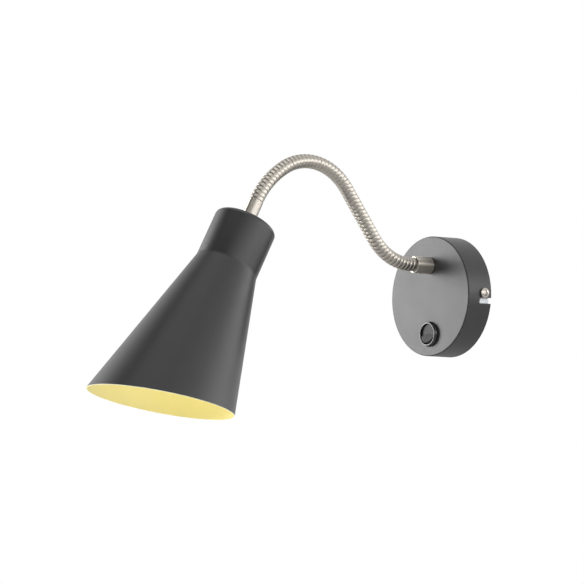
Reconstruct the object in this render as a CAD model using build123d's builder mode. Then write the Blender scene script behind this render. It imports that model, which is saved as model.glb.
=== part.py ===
from build123d import *

# Bedside wall reading lamp: a round canopy with a rocker switch, a ribbed gooseneck arm and a flared
# steel shade over a small lampholder. Sizes are millimetres. The wall is the plane y = 0, the lamp
# stands out of it towards -Y, +Z is up, and the origin is the centre of the canopy's back rim.

import os
from math import asin, cos, radians, sin, sqrt, tan

# ---------------------------------------------------------------- driving dimensions

# Canopy: a shallow pressed cup that hides the wall bracket
CANOPY_RADIUS = 50.0
CANOPY_DEPTH = 24.0
CANOPY_WALL = 1.2
CANOPY_DRAFT = 0.6
CANOPY_EDGE = 0.9

# Bayonet slots and the two side screws that hold the canopy to its bracket
SLOT_WIDTH = 4.7
SLOT_DEPTH = 12.0
SLOT_DROP = 6.1
SCREW_OUT = 7.8
SCREW_RADIUS = 2.0
SCREW_HEAD_RADIUS = 4.1
SCREW_HEAD_HEIGHT = 2.8
SCREW_LENGTH = 9.0
SCREW_CROWN_SHARE = 0.45
RECESS_WIDTH_SHARE = 0.26
RECESS_REACH_SHARE = 1.15
RECESS_DEPTH_SHARE = 0.55

# Wall bracket: a zinc-plated strap with two bent tabs
BRACKET_SHEET = 1.5
BRACKET_WIDTH = 18.0
BRACKET_TAB = 13.5
BRACKET_BEND = 1.0
BRACKET_PLAY = 0.5
WALL_HOLE_SPACING = 60.0
WALL_SLOT_LENGTH = 9.0
WALL_SLOT_WIDTH = 4.6

# Gooseneck arm: a flexible steel hose with rolled ribs, in rigid lengths that ball joints link
RIB_PITCH = 3.54
RIBS_PER_LINK = 8
LINK_COUNT = 7
RIB_RADIUS = 5.7
ROOT_RADIUS = 4.7
GROOVE_WIDTH = 1.4
RIB_FLANK = 0.4
HOSE_BORE = 2.6
BALL_RADIUS = 4.3
BALL_REACH = 2.2

# Course of the arm at rest, from the wall: straight, up, straight, over the crown and down
ARM_HEIGHT = 25.4
WALL_STRAIGHT = 4.0
RISE_RADIUS = 46.8
RISE_ANGLE = 53.9
CROWN_RADIUS = 46.5
CROWN_ANGLE = 83.7
DROOP_RADIUS = 74.0
DROOP_ANGLE = 32.5

# Plain sleeves, threaded nipples, nuts and washers at the two ends of the arm
WALL_SLEEVE_RADIUS = 7.0
HEAD_SLEEVE_RADIUS = 5.9
WALL_SLEEVE = 17.1
HEAD_SLEEVE = 19.9
SLEEVE_EDGE = 0.4
HOSE_TAIL = 5.0
NIPPLE_RADIUS = 5.0
NIPPLE_BORE = 3.6
NIPPLE_GRIP = 5.5
NUT_FLATS = 14.0
NUT_HEIGHT = 4.0
WASHER_RADIUS = 8.0
WASHER_SHEET = 0.8
WASHER_TEETH = 12
WASHER_TOOTH = 1.2
THREAD_REST = 1.5

# Shade: a spun steel shell with a straight neck, a flare and a slanted mouth
NECK_RADIUS = 25.1
NECK_LENGTH = 40.7
FLARE_ANGLE = 14.1
MOUTH_DEPTH = 161.3
MOUTH_SLANT = 15.3
CROWN_EDGE = 3.6
KINK_RADIUS = 10.6
SHADE_WALL = 0.8

# Lampholder with a small Edison screw
HOLDER_THREAD = 7.0
HOLDER_COLLAR_RADIUS = 8.0
HOLDER_RADIUS = 13.6
HOLDER_CAP_LENGTH = 19.0
HOLDER_MOUTH_RADIUS = 12.4
HOLDER_WALL = 1.6
CARRIER_THICKNESS = 6.0
SCREW_SHELL_RADIUS = 7.0
LINER_WALL = 1.6
CONTACT_SHEET = 0.5
CONTACT_WIDTH = 2.0
LEAF_HEIGHT = 1.5
TERMINAL_OFFSET = 5.0
TERMINAL_WIDTH = 4.4
TERMINAL_HEIGHT = 4.0
TERMINAL_WIRE = 4.2
TERMINAL_HOLE = 2.4

# Light bulb with a frosted globe
BULB_LENGTH = 78.0
BULB_TIP_RADIUS = 2.6
BULB_TIP_LENGTH = 1.2
BULB_GLASS_LENGTH = 2.4
BULB_SHELL_LENGTH = 16.2
BULB_SHELL_WALL = 0.4
THREAD_PITCH = 2.82
THREAD_DEPTH = 0.5
THREAD_FLANK_SHARE = 0.4
THREAD_CREST_SHARE = 0.2
BULB_NECK_RADIUS = 8.6
COLLAR_RADIUS = 15.5
COLLAR_WALL = 1.2
GLOBE_RADIUS = 22.5
GLOBE_WALL = 1.0
LIGHT_BOARD_SHEET = 1.2
LIGHT_CHIP = 2.8
LIGHT_CHIP_HEIGHT = 0.7
LIGHT_CHIP_COUNT = 8
LIGHT_CHIP_CIRCLE = 8.5

# Round rocker switch in the canopy's front
SWITCH_INSET = 18.4
SWITCH_RADIUS = 9.4
BEZEL_RADIUS = 10.5
BEZEL_RIM_RADIUS = 9.7
BEZEL_FLANGE = 0.9
BEZEL_PROUD = 3.0
SWITCH_WELL_RADIUS = 8.5
SWITCH_BACK = 12.0
SWITCH_FLOOR = 1.6
ROCKER_RADIUS = 8.2
ROCKER_ANGLE = 24.0
ROCKER_HOLLOW = 1.5
ROCKER_BACK = 3.0
TRUNNION_RADIUS = 1.2
TRUNNION_REACH = 0.6
SNAP_WING = 0.8
BLADE_WIDTH = 4.8
BLADE_SHEET = 0.8
BLADE_LENGTH = 7.0
BLADE_SPACING = 7.2
BLADE_ROOT = 4.0
RECEPTACLE_BARREL = 5.0

# Terminal block on the bracket
POLE_PITCH = 9.0
POLE_COUNT = 2
BLOCK_WIDTH = 16.0
BLOCK_HEIGHT = 13.5
BLOCK_EDGE = 1.0
CLAMP_HEIGHT = 5.2
CLAMP_RADIUS = 2.4
CLAMP_BORE = 1.5
CLAMP_SCREW_RADIUS = 1.25
CLAMP_SCREW_HEAD = 1.9
CLAMP_SCREW_OFFSET = 4.4
FIXING_SCREW_RADIUS = 1.5
FIXING_SCREW_HEAD = 2.4

# Earth point on the bracket
EARTH_OFFSET = -19.8
EARTH_SCREW_HEAD = 3.2
LUG_SHEET = 0.8
LUG_RADIUS = 3.6
LUG_BARREL = 4.5
TAG_REACH = 12.5

# Wiring
CABLE_RADIUS = 2.2
WIRE_RADIUS = 1.0
WIRE_BEND = 3.0
HEAD_WIRE_BEND = 1.5
CORE_OFFSET = 1.1
CABLE_TAIL = 2.5

# Clearances
FIT = 0.05
BALL_FIT = 0.1
LOOSE = 0.2
SEAT = 0.1

# ---------------------------------------------------------------- course of the arm


def arc_length(radius, angle):
    """Length of an arc of the given radius and angle in degrees."""
    return radius * radians(angle)


LINK_LENGTH = RIBS_PER_LINK * RIB_PITCH
HOSE_LENGTH = LINK_COUNT * LINK_LENGTH + 2 * RIB_PITCH
RISE_LENGTH = arc_length(RISE_RADIUS, RISE_ANGLE)
CROWN_LENGTH = arc_length(CROWN_RADIUS, CROWN_ANGLE)
DROOP_LENGTH = arc_length(DROOP_RADIUS, DROOP_ANGLE)
MIDDLE_STRAIGHT = HOSE_LENGTH - WALL_STRAIGHT - RISE_LENGTH - CROWN_LENGTH - DROOP_LENGTH
HOSE_START_Y = -(CANOPY_DEPTH + WALL_SLEEVE)

# Each stretch of the course is its length and the angle that it turns upwards
ARM_COURSE = [
    (WALL_STRAIGHT, 0.0),
    (RISE_LENGTH, RISE_ANGLE),
    (MIDDLE_STRAIGHT, 0.0),
    (CROWN_LENGTH, -CROWN_ANGLE),
    (DROOP_LENGTH, -DROOP_ANGLE),
]


def stretch_end(y, z, heading, length, turn):
    """Where a straight or an arc ends that starts at y, z with a heading in degrees above -Y."""
    start = radians(heading)
    if turn == 0:
        return y - length * cos(start), z + length * sin(start), heading
    radius = length / radians(turn)
    finish = start + radians(turn)
    return y - radius * (sin(finish) - sin(start)), z + radius * (cos(start) - cos(finish)), heading + turn


def arm_station(distance):
    """Point and heading of the arm's centre line at a distance from the wall end of the hose."""
    y, z, heading = HOSE_START_Y, ARM_HEIGHT, 0.0
    if distance < 0:
        return stretch_end(y, z, heading, distance, 0.0)
    left = distance
    for length, turn in ARM_COURSE:
        run = min(left, length)
        y, z, heading = stretch_end(y, z, heading, run, turn * run / length)
        left -= run
        if left <= 0:
            return y, z, heading
    return stretch_end(y, z, heading, left, 0.0)


def arm_point(distance):
    """Point of the arm's centre line at a distance from the wall end of the hose."""
    y, z, heading = arm_station(distance)
    return (0, y, z)


def arm_plane(distance):
    """Plane square to the arm, its x along X and its z along the arm away from the wall."""
    y, z, heading = arm_station(distance)
    along = (0, -cos(radians(heading)), sin(radians(heading)))
    return Plane(origin=(0, y, z), x_dir=(1, 0, 0), z_dir=along)


def side_plane(square):
    """Plane through the axis of a square plane: x is radial, y runs along the axis."""
    return Plane(origin=square.origin, x_dir=square.x_dir, z_dir=-square.y_dir)


HEAD_STATION = HOSE_LENGTH + HEAD_SLEEVE
HEAD = arm_plane(HEAD_STATION)
HEAD_AXIS = Axis(HEAD.origin, HEAD.z_dir)
HEAD_SECTION = side_plane(HEAD)
FRONT = Plane.XZ.offset(CANOPY_DEPTH)
SWITCH_DROP = CANOPY_RADIUS - SWITCH_INSET
CANOPY_INSIDE = CANOPY_DEPTH - CANOPY_WALL

pieces = {}


def turned(section, axis, *outline):
    """Solid turned about an axis from an outline of radius and distance pairs on its section plane."""
    with BuildPart() as body:
        with BuildSketch(section):
            with BuildLine():
                Polyline(*outline, close=True)
            make_face()
        revolve(axis=axis)
    return body.part


def ring(base, outer, inner, height):
    """Plain ring that stands on a plane."""
    with BuildPart() as body:
        with BuildSketch(base):
            Circle(outer)
            Circle(inner, mode=Mode.SUBTRACT)
        extrude(amount=height)
    return body.part


def hex_nut(base, height):
    """Hexagon nut that stands on a plane, its outer corners chamfered."""
    corner = NUT_FLATS / sqrt(3)
    bevel = (corner - NUT_FLATS / 2) / 2
    envelope = turned(
        side_plane(base),
        Axis(base.origin, base.z_dir),
        (0, 0),
        (NUT_FLATS / 2, 0),
        (corner, bevel),
        (corner, height - bevel),
        (NUT_FLATS / 2, height),
        (0, height),
    )
    with BuildPart() as body:
        with BuildSketch(base):
            RegularPolygon(corner, 6)
            Circle(NIPPLE_RADIUS + FIT, mode=Mode.SUBTRACT)
        extrude(amount=height)
        add(envelope, mode=Mode.INTERSECT)
    return body.part


def toothed_washer(base):
    """Lock washer with outer teeth, lying on a plane."""
    with BuildPart() as body:
        with BuildSketch(base):
            Circle(WASHER_RADIUS)
            Circle(NIPPLE_RADIUS + LOOSE, mode=Mode.SUBTRACT)
            with PolarLocations(WASHER_RADIUS, WASHER_TEETH):
                Rectangle(2 * WASHER_TOOTH, WASHER_TOOTH, mode=Mode.SUBTRACT)
        extrude(amount=WASHER_SHEET)
    return body.part


def pan_screw(seat, radius, length, head_radius, head_height):
    """Pan head screw with a cross recess. The seat is the plane under its head, z to the head's top."""
    crown_drop = head_height * SCREW_CROWN_SHARE
    recess_width = head_radius * RECESS_WIDTH_SHARE
    recess_reach = head_radius * RECESS_REACH_SHARE
    dome_radius = (head_radius**2 + crown_drop**2) / (2 * crown_drop)
    half_angle = asin(head_radius / dome_radius) / 2
    crown_middle = (dome_radius * sin(half_angle), head_height - dome_radius * (1 - cos(half_angle)))
    with BuildPart() as body:
        with BuildSketch(side_plane(seat)):
            with BuildLine():
                Polyline((0, head_height), (0, -length), (radius - FIT, -length), (radius - FIT, 0))
                Polyline((radius - FIT, 0), (head_radius, 0), (head_radius, head_height - crown_drop))
                ThreePointArc((head_radius, head_height - crown_drop), crown_middle, (0, head_height))
            make_face()
        revolve(axis=Axis(seat.origin, seat.z_dir))
        with BuildSketch(seat.offset(head_height)):
            Rectangle(recess_reach, recess_width)
            Rectangle(recess_width, recess_reach)
        extrude(amount=-head_height * RECESS_DEPTH_SHARE, mode=Mode.SUBTRACT)
    return body.part


# ---------------------------------------------------------------- canopy and wall bracket

with BuildPart() as canopy:
    with BuildSketch(Plane.XZ):
        Circle(CANOPY_RADIUS)
    extrude(amount=CANOPY_DEPTH, taper=CANOPY_DRAFT)
    fillet(canopy.faces().sort_by(Axis.Y)[0].edges(), CANOPY_EDGE)
    with BuildSketch(Plane.XZ):
        Circle(CANOPY_RADIUS - CANOPY_WALL)
    extrude(amount=CANOPY_DEPTH - CANOPY_WALL, taper=CANOPY_DRAFT, mode=Mode.SUBTRACT)
    with BuildSketch(FRONT):
        with Locations((0, ARM_HEIGHT)):
            Circle(NIPPLE_RADIUS + SEAT)
        with Locations((0, -SWITCH_DROP)):
            Circle(SWITCH_RADIUS + LOOSE)
    extrude(amount=-2 * CANOPY_WALL, mode=Mode.SUBTRACT)
    for side in (1, -1):
        with BuildSketch(Plane.YZ.offset(side * CANOPY_RADIUS)):
            with Locations((-SLOT_DEPTH / 2, -side * SLOT_DROP)):
                Rectangle(SLOT_DEPTH, SLOT_WIDTH)
            with Locations((-SCREW_OUT, -side * SLOT_DROP / 2)):
                Rectangle(SLOT_WIDTH, SLOT_DROP)
            with Locations((-SCREW_OUT, 0)):
                Circle(SLOT_WIDTH / 2)
        extrude(amount=4 * CANOPY_WALL, both=True, mode=Mode.SUBTRACT)
pieces["canopy"] = canopy.part

TAB_END_RADIUS = CANOPY_RADIUS - CANOPY_WALL - BRACKET_TAB * tan(radians(CANOPY_DRAFT))
BRACKET_REACH = sqrt(TAB_END_RADIUS**2 - (BRACKET_WIDTH / 2) ** 2) - BRACKET_PLAY

with BuildPart() as wall_bracket:
    with BuildSketch(Plane.XZ):
        Rectangle(2 * BRACKET_REACH, BRACKET_WIDTH)
    extrude(amount=BRACKET_SHEET)
    for side in (1, -1):
        with BuildSketch(Plane.YZ.offset(side * BRACKET_REACH)):
            with Locations((-BRACKET_TAB / 2, 0)):
                Rectangle(BRACKET_TAB, BRACKET_WIDTH)
        extrude(amount=-side * BRACKET_SHEET)
    bends = wall_bracket.edges().filter_by(Axis.Z)
    fillet(bends.group_by(Axis.Y)[-1], BRACKET_BEND + BRACKET_SHEET / 2)
    tab_corners = wall_bracket.edges().filter_by(Axis.X).group_by(Axis.Y)[0]
    fillet(tab_corners, BRACKET_SHEET)
    with BuildSketch(Plane.XZ):
        with Locations((-WALL_HOLE_SPACING / 2, 0), (WALL_HOLE_SPACING / 2, 0)):
            SlotOverall(WALL_SLOT_LENGTH, WALL_SLOT_WIDTH)
        with Locations((EARTH_OFFSET, 0)):
            Circle(SCREW_RADIUS)
        Circle(FIXING_SCREW_RADIUS)
    extrude(amount=BRACKET_SHEET, mode=Mode.SUBTRACT)
    with BuildSketch(Plane.YZ):
        with Locations((-SCREW_OUT, 0)):
            Circle(SCREW_RADIUS)
    extrude(amount=CANOPY_RADIUS, both=True, mode=Mode.SUBTRACT)
pieces["wall_bracket"] = wall_bracket.part

SCREW_SEAT = CANOPY_RADIUS - SCREW_OUT * tan(radians(CANOPY_DRAFT)) + SEAT
side_seats = [
    Plane(origin=(side * SCREW_SEAT, -SCREW_OUT, 0), x_dir=(0, 0, 1), z_dir=(side, 0, 0))
    for side in (1, -1)
]
side_screws = [
    pan_screw(seat, SCREW_RADIUS, SCREW_LENGTH, SCREW_HEAD_RADIUS, SCREW_HEAD_HEIGHT) for seat in side_seats
]
with BuildPart() as canopy_screws:
    add(side_screws)
pieces["canopy_screws"] = canopy_screws.part

# ---------------------------------------------------------------- earth point on the bracket

EARTH_PLANE = Plane(origin=(EARTH_OFFSET, -BRACKET_SHEET, 0), x_dir=(1, 0, 0), z_dir=(0, -1, 0))
LUG_WIRE_OUT = BRACKET_SHEET + LUG_SHEET + WIRE_RADIUS
LUG_TOP = LUG_RADIUS + LUG_BARREL
LUG_BARREL_START = LUG_RADIUS + LUG_SHEET
LUG_BARREL_FOOT = (EARTH_OFFSET, -LUG_WIRE_OUT, LUG_BARREL_START)
LUG_BARREL_BASE = Plane(origin=LUG_BARREL_FOOT, x_dir=(1, 0, 0), z_dir=(0, 0, 1))

with BuildPart() as earth_lug:
    with BuildSketch(EARTH_PLANE):
        Circle(LUG_RADIUS)
        with Locations((0, LUG_TOP / 2)):
            Rectangle(2 * WIRE_RADIUS, LUG_TOP)
        Circle(SCREW_RADIUS + LOOSE, mode=Mode.SUBTRACT)
    extrude(amount=LUG_SHEET)
    with BuildSketch(LUG_BARREL_BASE):
        Circle(WIRE_RADIUS + LUG_SHEET)
    extrude(amount=LUG_TOP - LUG_BARREL_START)
    with BuildSketch(LUG_BARREL_BASE):
        Circle(WIRE_RADIUS + FIT)
    extrude(amount=LUG_TOP - LUG_BARREL_START, mode=Mode.SUBTRACT)
pieces["earth_lug"] = earth_lug.part

with BuildPart() as earth_washer:
    add(ring(EARTH_PLANE.offset(LUG_SHEET), LUG_RADIUS - LOOSE, SCREW_RADIUS + LOOSE, WASHER_SHEET))
pieces["earth_washer"] = earth_washer.part

earth_stack = LUG_SHEET + WASHER_SHEET
earth_seat = EARTH_PLANE.offset(earth_stack)
earth_head_height = SCREW_HEAD_HEIGHT * EARTH_SCREW_HEAD / SCREW_HEAD_RADIUS
earth_length = earth_stack + BRACKET_SHEET
with BuildPart() as earth_screw:
    add(pan_screw(earth_seat, SCREW_RADIUS, earth_length, EARTH_SCREW_HEAD, earth_head_height))
pieces["earth_screw"] = earth_screw.part

# ---------------------------------------------------------------- terminal block on the bracket

pole_places = [POLE_PITCH * (index - (POLE_COUNT - 1) / 2) for index in range(POLE_COUNT)]
BLOCK_BASE = Plane.XZ.offset(BRACKET_SHEET)
CLAMP_Y = -(BRACKET_SHEET + CLAMP_HEIGHT)
screw_places = [(x, z) for x in pole_places for z in (-CLAMP_SCREW_OFFSET, CLAMP_SCREW_OFFSET)]
FIXING_SEAT = CLAMP_HEIGHT + CLAMP_RADIUS + BLOCK_EDGE

with BuildPart() as terminal_block:
    with BuildSketch(BLOCK_BASE):
        RectangleRounded(POLE_COUNT * POLE_PITCH, BLOCK_WIDTH, BLOCK_EDGE)
    extrude(amount=BLOCK_HEIGHT)
    fillet(terminal_block.faces().sort_by(Axis.Y)[0].edges(), BLOCK_EDGE / 2)
    with BuildSketch(Plane.XY):
        with Locations(*[(x, CLAMP_Y) for x in pole_places]):
            Circle(CLAMP_RADIUS + FIT)
    extrude(amount=BLOCK_WIDTH, both=True, mode=Mode.SUBTRACT)
    with BuildSketch(Plane.XZ.offset(-CLAMP_Y)):
        with Locations(*screw_places):
            Circle(CLAMP_SCREW_HEAD + LOOSE)
    extrude(amount=BLOCK_HEIGHT, mode=Mode.SUBTRACT)
    with BuildSketch(BLOCK_BASE):
        Circle(FIXING_SCREW_RADIUS + SEAT)
    extrude(amount=BLOCK_HEIGHT, mode=Mode.SUBTRACT)
    with BuildSketch(BLOCK_BASE.offset(FIXING_SEAT)):
        Circle(FIXING_SCREW_HEAD + LOOSE)
    extrude(amount=BLOCK_HEIGHT, mode=Mode.SUBTRACT)
pieces["terminal_block"] = terminal_block.part

with BuildPart() as terminal_clamps:
    with BuildSketch(Plane.XY):
        with Locations(*[(x, CLAMP_Y) for x in pole_places]):
            Circle(CLAMP_RADIUS)
            Circle(CLAMP_BORE, mode=Mode.SUBTRACT)
    extrude(amount=BLOCK_WIDTH / 2 - BLOCK_EDGE, both=True)
    with BuildSketch(Plane.XZ.offset(-CLAMP_Y)):
        with Locations(*screw_places):
            Circle(CLAMP_SCREW_RADIUS)
    extrude(amount=BLOCK_HEIGHT, mode=Mode.SUBTRACT)
pieces["terminal_clamps"] = terminal_clamps.part

CLAMP_SCREW_SEAT = CLAMP_RADIUS + CLAMP_SCREW_HEAD / 2
clamp_screw_length = CLAMP_SCREW_SEAT - WIRE_RADIUS - SEAT
clamp_screws = []
for x, z in screw_places:
    clamp_seat = Plane(origin=(x, CLAMP_Y - CLAMP_SCREW_SEAT, z), x_dir=(1, 0, 0), z_dir=(0, -1, 0))
    clamp_screws.append(
        pan_screw(clamp_seat, CLAMP_SCREW_RADIUS, clamp_screw_length, CLAMP_SCREW_HEAD, CLAMP_SCREW_HEAD)
    )
with BuildPart() as terminal_screws:
    add(clamp_screws)
pieces["terminal_screws"] = terminal_screws.part

fixing_seat = BLOCK_BASE.offset(FIXING_SEAT)
fixing_length = FIXING_SEAT + BRACKET_SHEET
with BuildPart() as block_screw:
    add(pan_screw(fixing_seat, FIXING_SCREW_RADIUS, fixing_length, FIXING_SCREW_HEAD, FIXING_SCREW_HEAD))
pieces["block_screw"] = block_screw.part

# ---------------------------------------------------------------- rocker switch

SWITCH = Plane(origin=(0, -CANOPY_DEPTH, -SWITCH_DROP), x_dir=(1, 0, 0), z_dir=(0, -1, 0))
SWITCH_SECTION = side_plane(SWITCH)
SWITCH_PROFILE = Plane(origin=SWITCH.origin, x_dir=(0, 0, 1), z_dir=(1, 0, 0))
SWITCH_BOTTOM = -(CANOPY_WALL + SWITCH_BACK)
blade_places = [(-BLADE_SPACING / 2, 0), (BLADE_SPACING / 2, 0)]
TRUNNION_SPAN = ROCKER_RADIUS + TRUNNION_REACH
WING_ROOT = SWITCH_RADIUS - SWITCH_FLOOR / 4
housing_body = turned(
    SWITCH_SECTION,
    Axis(SWITCH.origin, SWITCH.z_dir),
    (SWITCH_WELL_RADIUS, BEZEL_PROUD),
    (BEZEL_RIM_RADIUS, BEZEL_PROUD),
    (BEZEL_RADIUS, BEZEL_FLANGE),
    (BEZEL_RADIUS, 0),
    (SWITCH_RADIUS, 0),
    (SWITCH_RADIUS, SWITCH_BOTTOM),
    (0, SWITCH_BOTTOM),
    (0, SWITCH_BOTTOM + SWITCH_FLOOR),
    (SWITCH_WELL_RADIUS, SWITCH_BOTTOM + SWITCH_FLOOR),
)

with BuildPart() as switch_housing:
    add(housing_body)
    rim_edges = switch_housing.faces().sort_by(Axis.Y)[0].edges()
    fillet(rim_edges, (BEZEL_RIM_RADIUS - SWITCH_WELL_RADIUS) / 3)
    for side in (1, -1):
        with BuildSketch(SWITCH_SECTION):
            with BuildLine():
                Polyline(
                    (side * WING_ROOT, -CANOPY_WALL - SEAT),
                    (side * (SWITCH_RADIUS + SNAP_WING), -CANOPY_WALL - SEAT),
                    (side * SWITCH_RADIUS, SWITCH_BOTTOM / 2),
                    (side * WING_ROOT, SWITCH_BOTTOM / 2),
                    close=True,
                )
            make_face()
        extrude(amount=SWITCH_RADIUS / 3, both=True)
    with BuildSketch(SWITCH.offset(SWITCH_BOTTOM)):
        with Locations(*blade_places):
            Rectangle(BLADE_SHEET + 2 * FIT, BLADE_WIDTH + 2 * FIT)
    extrude(amount=SWITCH_FLOOR, mode=Mode.SUBTRACT)
    with BuildSketch(SWITCH_PROFILE):
        Circle(TRUNNION_RADIUS + FIT)
    extrude(amount=TRUNNION_SPAN + SEAT, both=True, mode=Mode.SUBTRACT)
pieces["switch_housing"] = switch_housing.part

with BuildPart() as switch_rocker:
    with Locations(SWITCH):
        Sphere(ROCKER_RADIUS)
    with BuildSketch(SWITCH_PROFILE):
        with BuildLine():
            Polyline(
                (0, ROCKER_HOLLOW),
                (ROCKER_RADIUS, ROCKER_HOLLOW),
                (ROCKER_RADIUS, -ROCKER_BACK),
                (-ROCKER_RADIUS, -ROCKER_BACK),
                (-ROCKER_RADIUS, ROCKER_HOLLOW + ROCKER_RADIUS * tan(radians(ROCKER_ANGLE))),
                close=True,
            )
        make_face()
    extrude(amount=ROCKER_RADIUS, both=True, mode=Mode.INTERSECT)
    with BuildSketch(SWITCH_PROFILE):
        Circle(TRUNNION_RADIUS)
    extrude(amount=TRUNNION_SPAN, both=True)
pieces["switch_rocker"] = switch_rocker.part

with BuildPart() as switch_terminals:
    with BuildSketch(SWITCH.offset(SWITCH_BOTTOM - BLADE_LENGTH)):
        with Locations(*blade_places):
            Rectangle(BLADE_SHEET, BLADE_WIDTH)
    extrude(amount=BLADE_LENGTH + BLADE_ROOT)
pieces["switch_terminals"] = switch_terminals.part

RECEPTACLE_WALL = BLADE_SHEET
RECEPTACLE_TOP = BLADE_WIDTH / 2 + RECEPTACLE_WALL
RECEPTACLE_Y = -CANOPY_DEPTH - SWITCH_BOTTOM + BLADE_LENGTH / 2
barrels = Plane(origin=(0, RECEPTACLE_Y, RECEPTACLE_TOP - SWITCH_DROP), x_dir=(1, 0, 0), z_dir=(0, 0, 1))

with BuildPart() as spade_receptacles:
    with BuildSketch(SWITCH.offset(SWITCH_BOTTOM - LOOSE)):
        with Locations(*blade_places):
            Rectangle(BLADE_SHEET + 2 * RECEPTACLE_WALL, 2 * RECEPTACLE_TOP)
    extrude(amount=-BLADE_LENGTH)
    with BuildSketch(SWITCH.offset(SWITCH_BOTTOM)):
        with Locations(*blade_places):
            Rectangle(BLADE_SHEET + 2 * FIT, BLADE_WIDTH + 2 * FIT)
    extrude(amount=-BLADE_LENGTH - LOOSE, mode=Mode.SUBTRACT)
    with BuildSketch(barrels):
        with Locations(*blade_places):
            Circle(WIRE_RADIUS + RECEPTACLE_WALL)
            Circle(WIRE_RADIUS + FIT, mode=Mode.SUBTRACT)
    extrude(amount=RECEPTACLE_BARREL)
pieces["spade_receptacles"] = spade_receptacles.part

# ---------------------------------------------------------------- gooseneck arm

RIB_COUNT = LINK_COUNT * RIBS_PER_LINK + 2


def rib_outline(index):
    """Distances and radii of the four circles of a rib: its root, its crest and its root again."""
    start = index * RIB_PITCH + GROOVE_WIDTH / 2
    finish = (index + 1) * RIB_PITCH - GROOVE_WIDTH / 2
    return [
        (start, ROOT_RADIUS),
        (start + RIB_FLANK, RIB_RADIUS),
        (finish - RIB_FLANK, RIB_RADIUS),
        (finish, ROOT_RADIUS),
    ]


def ball_end(pivot):
    """Ball of a hose joint, centred on the pivot and cut flat in front and behind."""
    back_radius = sqrt(BALL_RADIUS**2 - GROOVE_WIDTH**2)
    front_radius = sqrt(BALL_RADIUS**2 - BALL_REACH**2)
    with BuildPart() as ball:
        with BuildSketch(side_plane(pivot)):
            with BuildLine():
                Polyline((front_radius, BALL_REACH), (0, BALL_REACH), (0, -GROOVE_WIDTH))
                Line((0, -GROOVE_WIDTH), (back_radius, -GROOVE_WIDTH))
                ThreePointArc((back_radius, -GROOVE_WIDTH), (BALL_RADIUS, 0), (front_radius, BALL_REACH))
            make_face()
        revolve(axis=Axis(pivot.origin, pivot.z_dir))
    return ball.part


def hose_tail(base):
    """End of the hose that goes into a sleeve, standing on the plane of its first groove's bottom."""
    with BuildPart() as tail:
        with BuildSketch(base):
            Circle(ROOT_RADIUS)
        extrude(amount=HOSE_TAIL + GROOVE_WIDTH / 2)
        with BuildSketch(base.offset(GROOVE_WIDTH / 2)):
            Circle(NIPPLE_RADIUS)
        extrude(amount=HOSE_TAIL)
    return tail.part


def hose_bore(start, finish, rib_count):
    """Core of the hose's bore, past both ends of a length."""
    with BuildPart() as core:
        with BuildSketch(arm_plane(start - HOSE_TAIL - GROOVE_WIDTH)):
            Circle(HOSE_BORE)
        for step in range(rib_count + 1):
            with BuildSketch(arm_plane(start + step * RIB_PITCH)):
                Circle(HOSE_BORE)
        with BuildSketch(arm_plane(finish + HOSE_TAIL + GROOVE_WIDTH)):
            Circle(HOSE_BORE)
        loft(ruled=True)
    return core.part


def hose_link(first_rib, rib_count):
    """Rigid length of the hose, with a socket or tail at its near end and a ball or tail at its far end."""
    start = first_rib * RIB_PITCH
    finish = start + rib_count * RIB_PITCH
    with BuildPart() as link:
        for index in range(first_rib, first_rib + rib_count):
            for distance, radius in rib_outline(index):
                with BuildSketch(arm_plane(distance)):
                    Circle(radius)
        loft(ruled=True)
        if first_rib == 0:
            near = arm_plane(start + GROOVE_WIDTH / 2)
            add(hose_tail(Plane(origin=near.origin, x_dir=near.x_dir, z_dir=-near.z_dir)))
        if first_rib + rib_count == RIB_COUNT:
            add(hose_tail(arm_plane(finish - GROOVE_WIDTH / 2)))
        else:
            add(ball_end(arm_plane(finish)))
        add(hose_bore(start, finish, rib_count), mode=Mode.SUBTRACT)
        if first_rib > 0:
            with Locations(arm_plane(start)):
                Sphere(BALL_RADIUS + BALL_FIT, mode=Mode.SUBTRACT)
    return link.part


link_ribs = [(0, 1)] + [(1 + index * RIBS_PER_LINK, RIBS_PER_LINK) for index in range(LINK_COUNT)]
link_ribs += [(RIB_COUNT - 1, 1)]
for index, (first_rib, rib_count) in enumerate(link_ribs):
    pieces[f"gooseneck_{index:02d}"] = hose_link(first_rib, rib_count)


def end_sleeve(base, radius, length):
    """Plain sleeve over the hose tail and the threaded nipple, its outer edges broken."""
    with BuildPart() as body:
        with BuildSketch(base):
            Circle(radius)
            Circle(NIPPLE_RADIUS + FIT, mode=Mode.SUBTRACT)
        extrude(amount=length)
        skin = body.faces().filter_by(GeomType.CYLINDER).sort_by(SortBy.AREA)[-1]
        chamfer(skin.edges().filter_by(GeomType.CIRCLE), SLEEVE_EDGE)
    return body.part


with BuildPart() as arm_sleeve_wall:
    add(end_sleeve(arm_plane(-WALL_SLEEVE), WALL_SLEEVE_RADIUS, WALL_SLEEVE))
pieces["arm_sleeve_wall"] = arm_sleeve_wall.part

with BuildPart() as arm_sleeve_head:
    add(end_sleeve(arm_plane(HOSE_LENGTH), HEAD_SLEEVE_RADIUS, HEAD_SLEEVE))
pieces["arm_sleeve_head"] = arm_sleeve_head.part

WALL_STACK = CANOPY_WALL + 2 * WASHER_SHEET + NUT_HEIGHT + THREAD_REST
HEAD_STACK = SHADE_WALL + WASHER_SHEET + NUT_HEIGHT
HEAD_NIPPLE_END = HEAD_STACK + HOLDER_THREAD + THREAD_REST

with BuildPart() as arm_nipple_wall:
    add(ring(arm_plane(-WALL_SLEEVE - WALL_STACK), NIPPLE_RADIUS, NIPPLE_BORE, WALL_STACK + NIPPLE_GRIP))
pieces["arm_nipple_wall"] = arm_nipple_wall.part

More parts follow.
